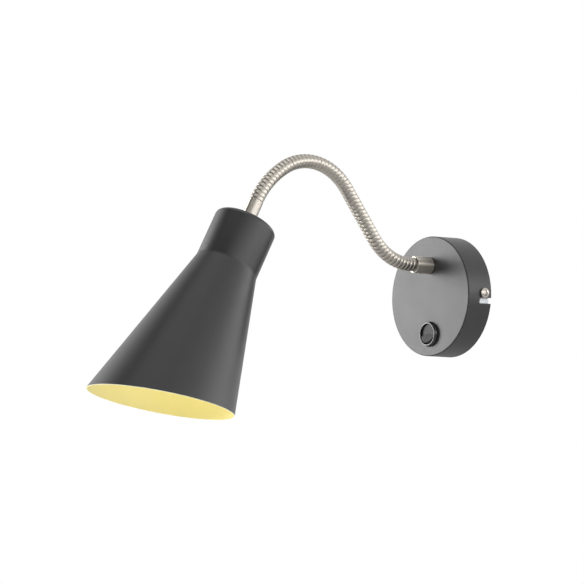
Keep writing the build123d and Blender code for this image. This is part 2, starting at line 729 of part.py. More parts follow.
with BuildPart() as arm_nipple_head:
    add(ring(HEAD.offset(-NIPPLE_GRIP), NIPPLE_RADIUS, NIPPLE_BORE, NIPPLE_GRIP + HEAD_NIPPLE_END))
pieces["arm_nipple_head"] = arm_nipple_head.part

INSIDE = Plane(origin=(0, -CANOPY_INSIDE, ARM_HEIGHT), x_dir=(-1, 0, 0), z_dir=(0, 1, 0))

with BuildPart() as earth_tag:
    with BuildSketch(INSIDE):
        Circle(WASHER_RADIUS)
        with Locations((TAG_REACH / 2, 0)):
            Rectangle(TAG_REACH, 4 * WIRE_RADIUS)
        with Locations((TAG_REACH, 0)):
            Circle(2 * WIRE_RADIUS)
        Circle(NIPPLE_RADIUS + LOOSE, mode=Mode.SUBTRACT)
    extrude(amount=WASHER_SHEET)
pieces["earth_tag"] = earth_tag.part

with BuildPart() as arm_washer_wall:
    add(toothed_washer(INSIDE.offset(WASHER_SHEET)))
pieces["arm_washer_wall"] = arm_washer_wall.part

with BuildPart() as arm_nut_wall:
    add(hex_nut(INSIDE.offset(2 * WASHER_SHEET), NUT_HEIGHT))
pieces["arm_nut_wall"] = arm_nut_wall.part

with BuildPart() as arm_washer_head:
    add(toothed_washer(HEAD.offset(SHADE_WALL)))
pieces["arm_washer_head"] = arm_washer_head.part

with BuildPart() as arm_nut_head:
    add(hex_nut(HEAD.offset(SHADE_WALL + WASHER_SHEET), NUT_HEIGHT))
pieces["arm_nut_head"] = arm_nut_head.part

# ---------------------------------------------------------------- shade

MOUTH_EDGE = MOUTH_DEPTH + 2 * NECK_RADIUS


def shade_core(inset):
    """Solid inside the shade's skin at an inset from its outside, longer than the slanted mouth."""
    neck = NECK_RADIUS - inset
    kink = NECK_LENGTH + inset * tan(radians(FLARE_ANGLE / 2))
    mouth_radius = neck + (MOUTH_EDGE - kink) * tan(radians(FLARE_ANGLE))
    with BuildPart() as core:
        with BuildSketch(HEAD_SECTION) as half:
            with BuildLine():
                Polyline(
                    (0, inset),
                    (neck, inset),
                    (neck, kink),
                    (mouth_radius, MOUTH_EDGE),
                    (0, MOUTH_EDGE),
                    close=True,
                )
            make_face()
            neck_corners = half.vertices().filter_by(lambda corner: abs(corner.X - neck) < FIT)
            fillet(neck_corners.sort_by(Axis.Y)[0], CROWN_EDGE - inset)
            neck_corners = half.vertices().filter_by(lambda corner: abs(corner.X - neck) < FIT)
            fillet(neck_corners.sort_by(Axis.Y)[-1], KINK_RADIUS + inset)
        revolve(axis=HEAD_AXIS)
    return core.part


MOUTH_CENTRE = HEAD.from_local_coords((0, 0, MOUTH_DEPTH))
MOUTH_TILT = (0, -sin(radians(MOUTH_SLANT)), MOUTH_DEPTH + cos(radians(MOUTH_SLANT)))
MOUTH = Plane(origin=MOUTH_CENTRE, x_dir=(1, 0, 0), z_dir=HEAD.from_local_coords(MOUTH_TILT) - MOUTH_CENTRE)

with BuildPart() as shade:
    add(shade_core(0))
    add(shade_core(SHADE_WALL), mode=Mode.SUBTRACT)
    with BuildSketch(HEAD):
        Circle(NIPPLE_RADIUS + SEAT)
    extrude(amount=2 * SHADE_WALL, mode=Mode.SUBTRACT)
    split(bisect_by=MOUTH, keep=Keep.BOTTOM)
pieces["shade"] = shade.part

# ---------------------------------------------------------------- lampholder

HOLDER_TOP = HEAD_STACK + SEAT
THREAD_END = HOLDER_TOP + HOLDER_THREAD
CAP_SHOULDER = THREAD_END + 2 * HOLDER_WALL
CAP_END = HOLDER_TOP + HOLDER_CAP_LENGTH
CARRIER_END = CAP_END + CARRIER_THICKNESS
BULB_TIP = CARRIER_END + LEAF_HEIGHT + SEAT
BULB_GLASS = BULB_TIP + BULB_TIP_LENGTH
BULB_SHELL = BULB_GLASS + BULB_GLASS_LENGTH
BULB_NECK = BULB_SHELL + BULB_SHELL_LENGTH
SHELL_END = BULB_NECK - 2 * LOOSE
LINER_BORE = SCREW_SHELL_RADIUS + 2 * FIT
LINER_RADIUS = LINER_BORE + LINER_WALL
HOLDER_BORE = HOLDER_RADIUS - HOLDER_WALL
MOUTH_BORE = HOLDER_MOUTH_RADIUS - HOLDER_WALL
BORE_TAPER = (HOLDER_BORE - MOUTH_BORE) / (SHELL_END - HOLDER_WALL - CAP_END)
CARRIER_RADIUS = HOLDER_BORE - BORE_TAPER * CARRIER_THICKNESS - LOOSE
LEG_OFFSET = SCREW_SHELL_RADIUS - CONTACT_SHEET / 2
leg_places = [(-LEG_OFFSET, 0), (LEG_OFFSET, 0)]

cap_body = turned(
    HEAD_SECTION,
    HEAD_AXIS,
    (NIPPLE_RADIUS + FIT, HOLDER_TOP),
    (HOLDER_COLLAR_RADIUS, HOLDER_TOP),
    (HOLDER_COLLAR_RADIUS, HOLDER_TOP + HOLDER_THREAD / 2),
    (HOLDER_RADIUS, CAP_SHOULDER),
    (HOLDER_RADIUS, CAP_END),
    (HOLDER_BORE, CAP_END),
    (HOLDER_BORE, CAP_SHOULDER + HOLDER_WALL),
    (NIPPLE_RADIUS + FIT, THREAD_END),
)
with BuildPart() as lampholder_cap:
    add(cap_body)
pieces["lampholder_cap"] = lampholder_cap.part

shell_body = turned(
    HEAD_SECTION,
    HEAD_AXIS,
    (HOLDER_BORE, CAP_END),
    (HOLDER_RADIUS, CAP_END),
    (HOLDER_MOUTH_RADIUS, SHELL_END),
    (LINER_RADIUS + FIT, SHELL_END),
    (LINER_RADIUS + FIT, SHELL_END - HOLDER_WALL),
    (MOUTH_BORE, SHELL_END - HOLDER_WALL),
)
with BuildPart() as lampholder_shell:
    add(shell_body)
pieces["lampholder_shell"] = lampholder_shell.part

carrier_body = turned(
    HEAD_SECTION,
    HEAD_AXIS,
    (0, CAP_END),
    (CARRIER_RADIUS, CAP_END),
    (CARRIER_RADIUS, CARRIER_END),
    (LINER_RADIUS, CARRIER_END),
    (LINER_RADIUS, SHELL_END),
    (LINER_BORE, SHELL_END),
    (LINER_BORE, CARRIER_END),
    (0, CARRIER_END),
)
with BuildPart() as lampholder_carrier:
    add(carrier_body)
    with BuildSketch(HEAD.offset(CAP_END)):
        with Locations(*leg_places):
            Rectangle(CONTACT_SHEET + 2 * FIT, CONTACT_WIDTH + 2 * FIT)
    extrude(amount=CARRIER_THICKNESS, mode=Mode.SUBTRACT)
pieces["lampholder_carrier"] = lampholder_carrier.part

TERMINAL_EDGE = TERMINAL_OFFSET + TERMINAL_WIDTH / 2
TERMINAL_TOP = CAP_END - TERMINAL_HEIGHT
LEAF_SPAN = LEG_OFFSET + CONTACT_SHEET / 2 + CONTACT_WIDTH
holder_screw_length = TERMINAL_EDGE - TERMINAL_WIRE - WIRE_RADIUS - SEAT
holder_seats = []
for side in (1, -1):
    seat_point = HEAD.from_local_coords((side * TERMINAL_EDGE, 0, CAP_END - TERMINAL_HEIGHT / 2))
    holder_seats.append(Plane(origin=seat_point, x_dir=HEAD.z_dir, z_dir=(side, 0, 0)))

with BuildPart() as holder_contacts:
    with BuildSketch(HEAD.offset(CAP_END)):
        with Locations((-TERMINAL_OFFSET, 0), (TERMINAL_OFFSET, 0)):
            Rectangle(TERMINAL_WIDTH, TERMINAL_WIDTH)
    extrude(amount=-TERMINAL_HEIGHT)
    with BuildSketch(HEAD.offset(CAP_END)):
        with Locations((-LEG_OFFSET, 0)):
            Rectangle(CONTACT_SHEET, CONTACT_WIDTH)
    extrude(amount=BULB_SHELL - SEAT - CAP_END)
    with BuildSketch(HEAD.offset(CAP_END)):
        with Locations((LEG_OFFSET, 0)):
            Rectangle(CONTACT_SHEET, CONTACT_WIDTH)
    extrude(amount=CARRIER_THICKNESS + LEAF_HEIGHT)
    with BuildSketch(HEAD.offset(CARRIER_END + LEAF_HEIGHT)):
        with Locations((LEAF_SPAN / 2 - CONTACT_WIDTH, 0)):
            Rectangle(LEAF_SPAN, CONTACT_WIDTH)
    extrude(amount=-CONTACT_SHEET)
    with BuildSketch(HEAD.offset(TERMINAL_TOP)):
        with Locations((-TERMINAL_WIRE, 0), (TERMINAL_WIRE, 0)):
            Circle(WIRE_RADIUS + FIT)
    extrude(amount=TERMINAL_HOLE, mode=Mode.SUBTRACT)
    for seat in holder_seats:
        with BuildSketch(seat):
            Circle(CLAMP_SCREW_RADIUS)
        extrude(amount=-holder_screw_length, mode=Mode.SUBTRACT)
pieces["holder_contacts"] = holder_contacts.part

clamping_screws = [
    pan_screw(seat, CLAMP_SCREW_RADIUS, holder_screw_length, CLAMP_SCREW_HEAD, CLAMP_SCREW_HEAD)
    for seat in holder_seats
]
with BuildPart() as holder_screws:
    add(clamping_screws)
pieces["holder_screws"] = holder_screws.part

# ---------------------------------------------------------------- light bulb

SHELL_BORE = SCREW_SHELL_RADIUS - THREAD_DEPTH - BULB_SHELL_WALL
THREAD_ROOT = SCREW_SHELL_RADIUS - THREAD_DEPTH
GLOBE_CENTRE = BULB_TIP + BULB_LENGTH - GLOBE_RADIUS
GLOBE_BASE = GLOBE_CENTRE - sqrt(GLOBE_RADIUS**2 - COLLAR_RADIUS**2)
GLOBE_BORE = sqrt((GLOBE_RADIUS - GLOBE_WALL) ** 2 - (GLOBE_CENTRE - GLOBE_BASE) ** 2)
BOARD_RADIUS = COLLAR_RADIUS - COLLAR_WALL - LOOSE

tip_body = turned(
    HEAD_SECTION,
    HEAD_AXIS,
    (0, BULB_TIP),
    (BULB_TIP_RADIUS, BULB_TIP),
    (BULB_TIP_RADIUS, BULB_GLASS),
    (0, BULB_GLASS),
)
with BuildPart() as bulb_tip:
    add(tip_body)
pieces["bulb_tip"] = bulb_tip.part

insulator_body = turned(
    HEAD_SECTION,
    HEAD_AXIS,
    (0, BULB_GLASS),
    (BULB_TIP_RADIUS, BULB_GLASS),
    (SHELL_BORE, BULB_SHELL),
    (0, BULB_SHELL),
)
with BuildPart() as bulb_insulator:
    add(insulator_body)
pieces["bulb_insulator"] = bulb_insulator.part

thread_outline = [(SHELL_BORE, BULB_SHELL)]
for turn in range(int(BULB_SHELL_LENGTH / THREAD_PITCH)):
    ridge = turn + THREAD_FLANK_SHARE
    thread_outline.append((THREAD_ROOT, BULB_SHELL + turn * THREAD_PITCH))
    thread_outline.append((SCREW_SHELL_RADIUS, BULB_SHELL + ridge * THREAD_PITCH))
    thread_outline.append((SCREW_SHELL_RADIUS, BULB_SHELL + (ridge + THREAD_CREST_SHARE) * THREAD_PITCH))
thread_outline.append((THREAD_ROOT, BULB_NECK))
thread_outline.append((SHELL_BORE, BULB_NECK))
with BuildPart() as bulb_cap:
    add(turned(HEAD_SECTION, HEAD_AXIS, *thread_outline))
pieces["bulb_cap"] = bulb_cap.part

collar_body = turned(
    HEAD_SECTION,
    HEAD_AXIS,
    (0, BULB_NECK),
    (BULB_NECK_RADIUS, BULB_NECK),
    (COLLAR_RADIUS, GLOBE_BASE),
    (COLLAR_RADIUS - COLLAR_WALL, GLOBE_BASE),
    (COLLAR_RADIUS - COLLAR_WALL, GLOBE_BASE - LIGHT_BOARD_SHEET),
    (BULB_NECK_RADIUS - COLLAR_WALL, BULB_NECK + COLLAR_WALL),
    (0, BULB_NECK + COLLAR_WALL),
)
with BuildPart() as bulb_collar:
    add(collar_body)
pieces["bulb_collar"] = bulb_collar.part

GLOBE_END = GLOBE_CENTRE + GLOBE_RADIUS
INNER_END = GLOBE_END - GLOBE_WALL
INNER_RADIUS = GLOBE_RADIUS - GLOBE_WALL
with BuildPart() as bulb_globe:
    with BuildSketch(HEAD_SECTION):
        with BuildLine():
            ThreePointArc((COLLAR_RADIUS, GLOBE_BASE), (GLOBE_RADIUS, GLOBE_CENTRE), (0, GLOBE_END))
            Line((0, GLOBE_END), (0, INNER_END))
            ThreePointArc((0, INNER_END), (INNER_RADIUS, GLOBE_CENTRE), (GLOBE_BORE, GLOBE_BASE))
            Line((GLOBE_BORE, GLOBE_BASE), (COLLAR_RADIUS, GLOBE_BASE))
        make_face()
    revolve(axis=HEAD_AXIS)
pieces["bulb_globe"] = bulb_globe.part

with BuildPart() as light_board:
    with BuildSketch(HEAD.offset(GLOBE_BASE)):
        Circle(BOARD_RADIUS)
    extrude(amount=-LIGHT_BOARD_SHEET)
    with BuildSketch(HEAD.offset(GLOBE_BASE)):
        with PolarLocations(LIGHT_CHIP_CIRCLE, LIGHT_CHIP_COUNT):
            Rectangle(LIGHT_CHIP, LIGHT_CHIP)
    extrude(amount=LIGHT_CHIP_HEIGHT)
pieces["light_board"] = light_board.part

# ---------------------------------------------------------------- cable and wires

CABLE_START = -(WALL_SLEEVE + WALL_STACK + CABLE_TAIL)
CABLE_END = HEAD_STATION + HEAD_NIPPLE_END + CABLE_TAIL
CABLE_BACK = arm_point(CABLE_START)
CABLE_FRONT = HEAD_NIPPLE_END + CABLE_TAIL

with BuildPart() as arm_cable:
    with BuildLine():
        Line(arm_point(CABLE_START), arm_point(WALL_STRAIGHT))
        passed = WALL_STRAIGHT
        for length, turn in ARM_COURSE[1:]:
            if turn == 0:
                Line(arm_point(passed), arm_point(passed + length))
            else:
                ThreePointArc(arm_point(passed), arm_point(passed + length / 2), arm_point(passed + length))
            passed += length
        Line(arm_point(passed), arm_point(CABLE_END))
    with BuildSketch(arm_plane(CABLE_START)):
        Circle(CABLE_RADIUS)
    sweep()
pieces["arm_cable"] = arm_cable.part


def wire(route, bend):
    """Round insulated wire along a route of points, its corners rounded."""
    with BuildPart() as body:
        with BuildLine() as course:
            FilletPolyline(*route, radius=bend)
        with BuildSketch(Plane(origin=course.line @ 0, z_dir=course.line % 0)):
            Circle(WIRE_RADIUS)
        sweep()
    return body.part


POLE_X = POLE_PITCH / 2
BLADE_X = BLADE_SPACING / 2
WIRE_DEPTH_Y = CLAMP_Y - 2 * WIRE_RADIUS
BARREL_TOP = RECEPTACLE_TOP - SWITCH_DROP + RECEPTACLE_BARREL
BARREL_REST = RECEPTACLE_TOP - SWITCH_DROP + SEAT
CLAMP_END = CLAMP_SCREW_OFFSET - CLAMP_BORE
CROSSING = BLOCK_WIDTH / 2 + 3 * WIRE_RADIUS

feed_route = [
    (POLE_X, CLAMP_Y, -CLAMP_END),
    (POLE_X, CLAMP_Y, -CROSSING - WIRE_BEND / 2),
    (-BLADE_X, RECEPTACLE_Y, BARREL_TOP + WIRE_BEND),
    (-BLADE_X, RECEPTACLE_Y, BARREL_REST),
]
with BuildPart() as wire_live_feed:
    add(wire(feed_route, WIRE_BEND))
pieces["wire_live_feed"] = wire_live_feed.part

SIDE_X = POLE_PITCH + 4 * WIRE_RADIUS
switched_route = [
    (CORE_OFFSET, CABLE_BACK[1], ARM_HEIGHT),
    (CORE_OFFSET, WIRE_DEPTH_Y - WIRE_RADIUS, ARM_HEIGHT),
    (SIDE_X, WIRE_DEPTH_Y - WIRE_RADIUS, ARM_HEIGHT - 3 * WIRE_BEND),
    (SIDE_X, WIRE_DEPTH_Y - WIRE_RADIUS, -CROSSING),
    (BLADE_X, RECEPTACLE_Y, BARREL_TOP + WIRE_BEND),
    (BLADE_X, RECEPTACLE_Y, BARREL_REST),
]
with BuildPart() as wire_live_switched:
    add(wire(switched_route, WIRE_BEND))
pieces["wire_live_switched"] = wire_live_switched.part

neutral_route = [
    (-CORE_OFFSET, CABLE_BACK[1], ARM_HEIGHT),
    (-CORE_OFFSET, CLAMP_Y - WIRE_RADIUS, ARM_HEIGHT),
    (-POLE_X, CLAMP_Y, BLOCK_WIDTH - WIRE_RADIUS),
    (-POLE_X, CLAMP_Y, CLAMP_END),
]
with BuildPart() as wire_neutral:
    add(wire(neutral_route, WIRE_BEND))
pieces["wire_neutral"] = wire_neutral.part

earth_route = [
    (EARTH_OFFSET, -LUG_WIRE_OUT, LUG_BARREL_START + SEAT),
    (EARTH_OFFSET, -LUG_WIRE_OUT, LUG_TOP + 2 * WIRE_BEND),
    (-TAG_REACH, -CANOPY_INSIDE / 2, ARM_HEIGHT),
    (-TAG_REACH, -CANOPY_INSIDE + WASHER_SHEET + SEAT, ARM_HEIGHT),
]
with BuildPart() as wire_earth:
    add(wire(earth_route, WIRE_BEND))
pieces["wire_earth"] = wire_earth.part

lamp_wire_bodies = []
for side in (1, -1):
    core_x = side * CORE_OFFSET
    clamp_x = side * TERMINAL_WIRE
    lamp_route = [
        HEAD.from_local_coords((core_x, 0, CABLE_FRONT)),
        HEAD.from_local_coords((core_x, 0, CABLE_FRONT + HEAD_WIRE_BEND)),
        HEAD.from_local_coords((clamp_x, 0, TERMINAL_TOP - WIRE_RADIUS / 2)),
        HEAD.from_local_coords((clamp_x, 0, TERMINAL_TOP + TERMINAL_HOLE - WIRE_RADIUS / 2)),
    ]
    lamp_wire_bodies.append(wire(lamp_route, HEAD_WIRE_BEND))
with BuildPart() as lamp_wires:
    add(lamp_wire_bodies)
pieces["lamp_wires"] = lamp_wires.part

# ---------------------------------------------------------------- write the files

os.makedirs("parts", exist_ok=True)
for name, piece in pieces.items():
    piece.label = name
    export_step(piece, f"parts/{name}.step")
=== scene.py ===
# %% [markdown]
# # A bedside wall reading lamp
# The lamp is a round charcoal canopy with a rocker switch, a ribbed metal gooseneck and a flared shade
# that is yellow inside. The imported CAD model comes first, as a fixed frame. Everything that follows
# either gives one of its pieces a finish or stands in for a piece whose surface needs more detail.

# %% Load the frame
from math import atan2, cos, pi, radians, sin, tan

import bpy
from mathutils import Matrix, Vector


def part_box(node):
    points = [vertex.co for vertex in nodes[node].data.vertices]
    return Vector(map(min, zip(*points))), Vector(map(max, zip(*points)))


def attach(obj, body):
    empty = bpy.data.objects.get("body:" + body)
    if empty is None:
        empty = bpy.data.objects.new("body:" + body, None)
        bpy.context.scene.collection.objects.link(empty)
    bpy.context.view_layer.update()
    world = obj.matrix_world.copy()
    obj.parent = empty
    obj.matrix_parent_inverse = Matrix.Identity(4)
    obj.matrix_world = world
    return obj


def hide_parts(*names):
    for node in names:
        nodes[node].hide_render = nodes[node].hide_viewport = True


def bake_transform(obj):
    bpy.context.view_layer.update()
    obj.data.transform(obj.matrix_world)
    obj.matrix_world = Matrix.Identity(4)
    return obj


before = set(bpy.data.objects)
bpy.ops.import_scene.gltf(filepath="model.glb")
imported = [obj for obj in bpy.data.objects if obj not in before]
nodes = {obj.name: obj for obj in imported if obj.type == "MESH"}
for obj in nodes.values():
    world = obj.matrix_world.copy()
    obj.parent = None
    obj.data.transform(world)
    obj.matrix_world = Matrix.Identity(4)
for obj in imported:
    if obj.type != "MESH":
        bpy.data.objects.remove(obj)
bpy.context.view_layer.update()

# %% [markdown]
# ## Sizes that the dressed pieces share with the CAD
# The arm leaves the wall straight, rises, runs straight, goes over its crown and droops into the shade.
# A point on that course is found from its distance along the hose, in millimetres, as in the CAD. All
# shaped pieces below are first made straight and upright and then carried to their place on the course.

# %% The arm's course
MM = 0.001
RIB_PITCH = 3.54
RIBS_PER_LINK = 8
LINK_COUNT = 7
LINK_LENGTH = RIBS_PER_LINK * RIB_PITCH
HOSE_LENGTH = LINK_COUNT * LINK_LENGTH + 2 * RIB_PITCH
HOSE_START_Y = -41.1
ARM_HEIGHT = 25.4
HEAD_SLEEVE = 19.9

WALL_STRAIGHT = 4.0
RISE_RADIUS = 46.8
RISE_ANGLE = 53.9
CROWN_RADIUS = 46.5
CROWN_ANGLE = 83.7
DROOP_RADIUS = 74.0
DROOP_ANGLE = 32.5
RISE = RISE_RADIUS * radians(RISE_ANGLE)
CROWN = CROWN_RADIUS * radians(CROWN_ANGLE)
DROOP = DROOP_RADIUS * radians(DROOP_ANGLE)
MIDDLE = HOSE_LENGTH - WALL_STRAIGHT - RISE - CROWN - DROOP

# Each stretch of the course is its length and the angle that it turns upwards
COURSE = [
    (WALL_STRAIGHT, 0.0),
    (RISE, RISE_ANGLE),
    (MIDDLE, 0.0),
    (CROWN, -CROWN_ANGLE),
    (DROOP, -DROOP_ANGLE),
]
print("hose", round(HOSE_LENGTH, 1), "mm long, its middle straight", round(MIDDLE, 1), "mm")


# %% A point and a frame on the course
def stretch_end(y, z, heading, length, turn):
    """Where a stretch ends that starts at y, z with a heading in degrees and turns by an angle."""
    start = radians(heading)
    if turn == 0:
        return y - length * cos(start), z + length * sin(start), heading
    radius = length / radians(turn)
    finish = start + radians(turn)
    return y - radius * (sin(finish) - sin(start)), z + radius * (cos(start) - cos(finish)), heading + turn


def arm_station(distance):
    """Place and heading of the arm's centre line at a distance along the hose."""
    y, z, heading = HOSE_START_Y, ARM_HEIGHT, 0.0
    if distance < 0:
        return stretch_end(y, z, heading, distance, 0.0)
    left = distance
    for length, turn in COURSE:
        run = min(left, length)
        y, z, heading = stretch_end(y, z, heading, run, turn * run / length)
        left -= run
        if left <= 0:
            return y, z, heading
    return stretch_end(y, z, heading, left, 0.0)


def arm_frame(distance):
    """Matrix that carries the origin to the arm's centre line and local Z onto its direction."""
    y, z, heading = arm_station(distance)
    along = Vector((0, -cos(radians(heading)), sin(radians(heading))))
    across = Vector((1, 0, 0))
    third = along.cross(across)
    turn = Matrix((across, third, along)).transposed().to_4x4()
    return Matrix.Translation(Vector((0, y, z)) * MM) @ turn


HEAD = arm_frame(HOSE_LENGTH + HEAD_SLEEVE)
print("shade top at", [round(v, 4) for v in HEAD.translation])

# %% [markdown]
# ## Small tools
# Materials are built by name from a principled shader. A short helper adds a node, sets its values and
# links it, so that each finish below reads as a list of what it is made of. Other helpers spin an outline
# in edit mode, round its corners and carry the finished mesh to its place.

# %% Helpers for materials
def new_finish(name, colour, roughness=0.5, metallic=0.0):
    """New material with a principled shader set to one plain colour; returns material, tree, shader."""
    material = bpy.data.materials.new(name)
    material.use_nodes = True
    tree = material.node_tree
    shader = tree.nodes["Principled BSDF"]
    shader.inputs["Base Color"].default_value = (*colour, 1)
    shader.inputs["Roughness"].default_value = roughness
    shader.inputs["Metallic"].default_value = metallic
    return material, tree, shader


def node(tree, kind, links=(), **values):
    """Adds a node, sets its properties or inputs by name and links (input, source socket) pairs."""
    made = tree.nodes.new(kind)
    for key, value in values.items():
        if hasattr(made, key):
            setattr(made, key, value)
        elif key.startswith("in") and key[2:].isdigit():
            made.inputs[int(key[2:])].default_value = value
        else:
            made.inputs[key].default_value = value
    for socket, source in links:
        tree.links.new(made.inputs[socket], source)
    return made


def place(tree):
    """The piece's own coordinates, in metres."""
    return node(tree, "ShaderNodeTexCoord").outputs["Object"]


def ramp(tree, source, stops):
    """Colour ramp fed by a socket, with (position, colour) stops."""
    made = tree.nodes.new("ShaderNodeValToRGB")
    tree.links.new(made.inputs[0], source)
    elements = made.color_ramp.elements
    while len(elements) < len(stops):
        elements.new(0.5)
    for element, (position, colour) in zip(elements, stops):
        element.position = position
        element.color = (*colour, 1)
    return made.outputs[0]


def grain(tree, shader, scale, strength, distance):
    """Fine bump from noise."""
    noise = node(tree, "ShaderNodeTexNoise", [("Vector", place(tree))], Scale=scale, Detail=3.0)
    bump = node(tree, "ShaderNodeBump", [("Height", noise.outputs[0])], Strength=strength, Distance=distance)
    tree.links.new(shader.inputs["Normal"], bump.outputs[0])


def vary(tree, shader, scale, low, high):
    """Roughness that changes slowly over the surface, from noise."""
    noise = node(tree, "ShaderNodeTexNoise", [("Vector", place(tree))], Scale=scale, Detail=4.0)
    spread = node(tree, "ShaderNodeMapRange", [("Value", noise.outputs[0])])
    spread.inputs["From Min"].default_value = 0.3
    spread.inputs["From Max"].default_value = 0.7
    spread.inputs["To Min"].default_value = low
    spread.inputs["To Max"].default_value = high
    tree.links.new(shader.inputs["Roughness"], spread.outputs[0])


def mottle(tree, shader, scale, dark, light, detail=5.0):
    """Base colour that wanders between two close colours."""
    noise = node(tree, "ShaderNodeTexNoise", [("Vector", place(tree))], Scale=scale, Detail=detail)
    tree.links.new(shader.inputs["Base Color"], ramp(tree, noise.outputs[0], [(0.3, dark), (0.7, light)]))


# %% Helpers for shapes
def alone(piece):
    """Makes one object the only one selected, and the active one."""
    if bpy.context.object and bpy.context.object.mode != "OBJECT":
        bpy.ops.object.mode_set(mode="OBJECT")
    bpy.ops.object.select_all(action="DESELECT")
    piece.select_set(True)
    bpy.context.view_layer.objects.active = piece


def paint(piece, *materials):
    """Replaces a piece's material slots."""
    piece.data.materials.clear()
    for material in materials:
        piece.data.materials.append(material)


def turned(name, outline, steps):
    """Shape spun about Z from (radius, height) pairs in millimetres. In edit mode a plane is merged to one
    vertex, the vertex is extruded along the outline and the line is spun through a full turn."""
    bpy.ops.mesh.primitive_plane_add(size=1)
    piece = bpy.context.object
    piece.name = name
    piece.data.name = name
    bpy.ops.object.mode_set(mode="EDIT")
    bpy.ops.mesh.select_all(action="SELECT")
    bpy.ops.mesh.merge(type="CENTER")
    radius, height = outline[0]
    bpy.ops.transform.translate(value=(radius * MM, 0, height * MM))
    for next_radius, next_height in outline[1:]:
        shift = ((next_radius - radius) * MM, 0, (next_height - height) * MM)
        bpy.ops.mesh.extrude_region_move(TRANSFORM_OT_translate={"value": shift})
        radius, height = next_radius, next_height
    bpy.ops.mesh.select_all(action="SELECT")
    bpy.ops.mesh.spin(steps=steps, angle=2 * pi, center=(0, 0, 0), axis=(0, 0, 1))
    bpy.ops.mesh.select_all(action="SELECT")
    bpy.ops.mesh.remove_doubles(threshold=0.00001)
    bpy.ops.mesh.normals_make_consistent(inside=False)
    bpy.ops.object.mode_set(mode="OBJECT")
    return piece


def rounded(points, corners, pieces):
    """Outline with chosen corners rounded: corners maps a point's index to a radius."""
    result = []
    for index, point in enumerate(points):
        radius = corners.get(index)
        if not radius:
            result.append(point)
            continue
        here = Vector(point)
        before = (Vector(points[index - 1]) - here).normalized()
        after = (Vector(points[index + 1]) - here).normalized()
        half = before.angle(after) / 2
        reach = radius / tan(half)
        centre = here + (before + after).normalized() * radius / sin(half)
        first = here + before * reach - centre
        last = here + after * reach - centre
        sweep = first.angle_signed(last)
        for step in range(pieces + 1):
            arm = first.copy()
            arm.rotate(Matrix.Rotation(-sweep * step / pieces, 2))
            result.append(tuple(centre + arm))
    return result


def put(piece, matrix):
    """Carries a mesh to its place and leaves the object at the origin."""
    piece.data.transform(matrix)
    piece.matrix_world = Matrix.Identity(4)


def smooth(piece, angle):
    """Smooth shading, except across edges sharper than an angle in degrees."""
    alone(piece)
    bpy.ops.object.shade_smooth_by_angle(angle=radians(angle))


# %% [markdown]
# ## Charcoal enamel
# Canopy and shade carry the same satin charcoal enamel, with a soft, wide highlight, a hint of orange
# peel and a slightly uneven gloss. The enamel hides the steel and isn't metal to the light, so metallic
# stays at zero. The canopy's face has the same colour as its side, and only the left soft box makes it
# paler.

# %% Charcoal enamel
charcoal, tree, shader = new_finish("charcoal enamel", (0.029, 0.029, 0.031), roughness=0.41)
mottle(tree, shader, 60.0, (0.0275, 0.0275, 0.0295), (0.0305, 0.0305, 0.0325))
vary(tree, shader, 60.0, 0.39, 0.43)
grain(tree, shader, 1400.0, 0.06, 0.0001)
print("made", charcoal.name)

# %% [markdown]
# ## Yellow enamel inside the shade
# The shade's inside is a warm matt yellow that throws light back out of the mouth. The thin cut edge of
# the mouth is a paler yellow, a painted highlight for the pale line of light along it.

# %% Yellow enamel
yellow, tree, shader = new_finish("yellow enamel", (0.86, 0.77, 0.34), roughness=0.5)
mottle(tree, shader, 40.0, (0.84, 0.75, 0.32), (0.88, 0.79, 0.36))
grain(tree, shader, 1100.0, 0.1, 0.0002)
# Painted highlight: the cut edge is a paler yellow for the line of light along it
rim_highlight_yellow, tree, shader = new_finish("pale yellow rim", (0.86, 0.83, 0.58), roughness=0.45)
grain(tree, shader, 900.0, 0.1, 0.0002)
print("made", yellow.name, "and", rim_highlight_yellow.name)

# %% [markdown]
# ## Satin nickel
# The gooseneck and its sleeves are nickel plated and brushed: bright, a little warm, with fine scratches
# that run round them. On the plain sleeves such scratches draw a highlight out along the axis, so their
# metal is anisotropic, with the axis as its tangent. A Vector Transform node turns that axis with the
# piece. The canopy's side screws share the wall sleeve's metal. The ribbed hose is plain rough metal, and
# an attribute, set from the depth of each groove, darkens and roughens the grooves. The darkening is
# painted shade, strongest above and below the hose and faint on its two sides.

# %% Satin nickel
def brushed(name, axis):
    """Nickel with fine scratches round an axis: highlights run along the axis and stay narrow round it."""
    material, tree, shader = new_finish(name, (0.54, 0.50, 0.445), roughness=0.4, metallic=1.0)
    mottle(tree, shader, 30.0, (0.52, 0.48, 0.43), (0.56, 0.52, 0.46), detail=2.0)
    shader.inputs["Anisotropic"].default_value = 0.8
    turn = node(tree, "ShaderNodeVectorTransform", vector_type="VECTOR", in0=axis)
    turn.convert_from = "OBJECT"
    turn.convert_to = "WORLD"
    tree.links.new(shader.inputs["Tangent"], turn.outputs[0])
    return material


wall_nickel = brushed("satin nickel", (0, 1, 0))
head_nickel = brushed("satin nickel at the head", HEAD.col[2].to_3d())
print("made", wall_nickel.name, "and", head_nickel.name)

# %% Ribbed nickel
# Painted shade in the grooves: the hose turns darker as the groove attribute grows
GROOVE_SHADE_TONES = [(0.0, (0.44, 0.41, 0.365)), (0.5, (0.28, 0.26, 0.225)), (1.0, (0.1, 0.09, 0.075))]
hose_nickel_with_painted_shade, tree, shader = new_finish("ribbed nickel", (0.46, 0.43, 0.39), roughness=0.36, metallic=1.0)
groove = node(tree, "ShaderNodeAttribute", attribute_name="groove").outputs["Fac"]
tree.links.new(shader.inputs["Base Color"], ramp(tree, groove, GROOVE_SHADE_TONES))
rough = node(tree, "ShaderNodeMapRange", [("Value", groove)])
rough.inputs["To Min"].default_value = 0.34
rough.inputs["To Max"].default_value = 0.6
tree.links.new(shader.inputs["Roughness"], rough.outputs[0])
print("made", hose_nickel_with_painted_shade.name)

